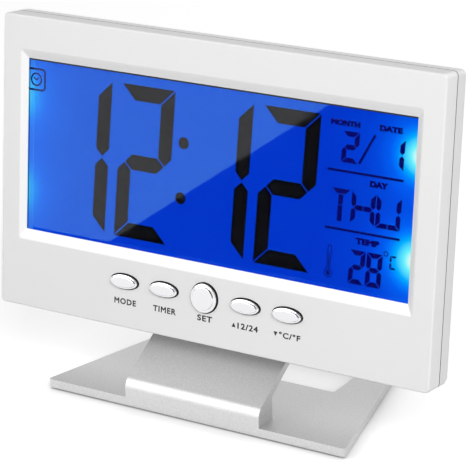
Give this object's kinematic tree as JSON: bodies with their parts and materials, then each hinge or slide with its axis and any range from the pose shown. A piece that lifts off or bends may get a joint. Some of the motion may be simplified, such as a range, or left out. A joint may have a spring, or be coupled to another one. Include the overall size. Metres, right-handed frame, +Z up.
{
  "type": "digital alarm clock",
  "caption": "Desk alarm clock: a wide flat case with a large blue liquid crystal display and a row of push buttons, leaning back on a silver stand with an open plate.",
  "frame": {"origin": "on the table, in the middle of the stand's footprint, which is also the middle of the case's width", "axes": "+Z up, the face looks towards -Y, and +X is to the right as seen from the front"},
  "size_m": [0.145, 0.065, 0.109],
  "materials": {
    "case_plastic": "off-white moulded plastic, satin",
    "stand_silver": "satin silver paint on moulded plastic",
    "button_chrome": "polished plating",
    "window_clear": "clear, glossy",
    "display_glass": "blue backlit liquid crystal",
    "light_guide_clear": "clear acrylic with a dotted back",
    "film_white": "matt white",
    "led_board": "white solder mask",
    "circuit_board": "green solder mask",
    "black_plastic": "matt black moulded plastic",
    "zebra_rubber": "striped silicone rubber",
    "steel": "zinc plated",
    "contact_nickel": "nickel plated spring steel",
    "cell_jacket": "printed metallic jacket",
    "wire_red": "red insulation",
    "wire_black": "black insulation",
    "foot_rubber": "matt dark rubber"
  },
  "bodies": {
    "stand": {"stand": "stand_silver", "foot_front_left": "foot_rubber", "foot_front_right": "foot_rubber", "foot_back_left": "foot_rubber", "foot_back_right": "foot_rubber"},
    "head": {"front_bezel": "case_plastic", "rear_cover": "case_plastic", "display_window": "window_clear", "liquid_crystal_cell": "display_glass", "diffuser_film": "film_white", "light_guide": "light_guide_clear", "reflector_film": "film_white", "display_tray": "film_white", "led_strip_left": "led_board", "led_strip_right": "led_board", "zebra_connector": "zebra_rubber", "mode_switch_body": "steel", "timer_switch_body": "steel", "set_switch_body": "steel", "up_switch_body": "steel", "down_switch_body": "steel", "main_board": "circuit_board", "board_screw_left": "steel", "board_screw_right": "steel", "buzzer": "black_plastic", "microphone": "steel", "controller_chip": "black_plastic", "quartz_crystal": "contact_nickel", "temperature_sensor": "black_plastic", "selector_switch_body": "steel", "case_screw_top_left": "steel", "case_screw_top_right": "steel", "case_screw_bottom_left": "steel", "case_screw_bottom_right": "steel", "cell_1": "cell_jacket", "cell_2": "cell_jacket", "cell_3": "cell_jacket", "positive_contact": "contact_nickel", "bridge_contact_right": "contact_nickel", "bridge_contact_left": "contact_nickel", "negative_contact": "contact_nickel", "battery_wire_red": "wire_red", "battery_wire_black": "wire_black"},
    "mode_button": {"mode_button": "button_chrome", "mode_switch_plunger": "black_plastic"},
    "timer_button": {"timer_button": "button_chrome", "timer_switch_plunger": "black_plastic"},
    "set_button": {"set_button": "button_chrome", "set_switch_plunger": "black_plastic"},
    "up_button": {"up_button": "button_chrome", "up_switch_plunger": "black_plastic"},
    "down_button": {"down_button": "button_chrome", "down_switch_plunger": "black_plastic"},
    "battery_door": {"battery_door": "case_plastic"},
    "selector_knob": {"selector_knob": "black_plastic"}
  },
  "joints": [
    {"name": "head_lift", "type": "slide", "parent": "stand", "child": "head", "axis": [0, 0.1132, 0.9936], "range_m": [0, 0.011]},
    {"name": "mode_press", "type": "slide", "parent": "head", "child": "mode_button", "axis": [0, 0.9936, -0.1132], "range_m": [0, 0.0005], "stiffness_N_per_m": 1000, "springref_m": -0.0003},
    {"name": "timer_press", "type": "slide", "parent": "head", "child": "timer_button", "axis": [0, 0.9936, -0.1132], "range_m": [0, 0.0005], "stiffness_N_per_m": 1000, "springref_m": -0.0003},
    {"name": "set_press", "type": "slide", "parent": "head", "child": "set_button", "axis": [0, 0.9936, -0.1132], "range_m": [0, 0.0005], "stiffness_N_per_m": 1000, "springref_m": -0.0003},
    {"name": "up_press", "type": "slide", "parent": "head", "child": "up_button", "axis": [0, 0.9936, -0.1132], "range_m": [0, 0.0005], "stiffness_N_per_m": 1000, "springref_m": -0.0003},
    {"name": "down_press", "type": "slide", "parent": "head", "child": "down_button", "axis": [0, 0.9936, -0.1132], "range_m": [0, 0.0005], "stiffness_N_per_m": 1000, "springref_m": -0.0003},
    {"name": "battery_door_swing", "type": "hinge", "parent": "head", "child": "battery_door", "pos_m": [0, 0.0012, 0.03943], "axis": [-1, 0, 0], "range_deg": [0, 80]},
    {"name": "selector_slide", "type": "slide", "parent": "head", "child": "selector_knob", "axis": [1, 0, 0], "range_m": [-0.002, 0.002]}
  ]
}
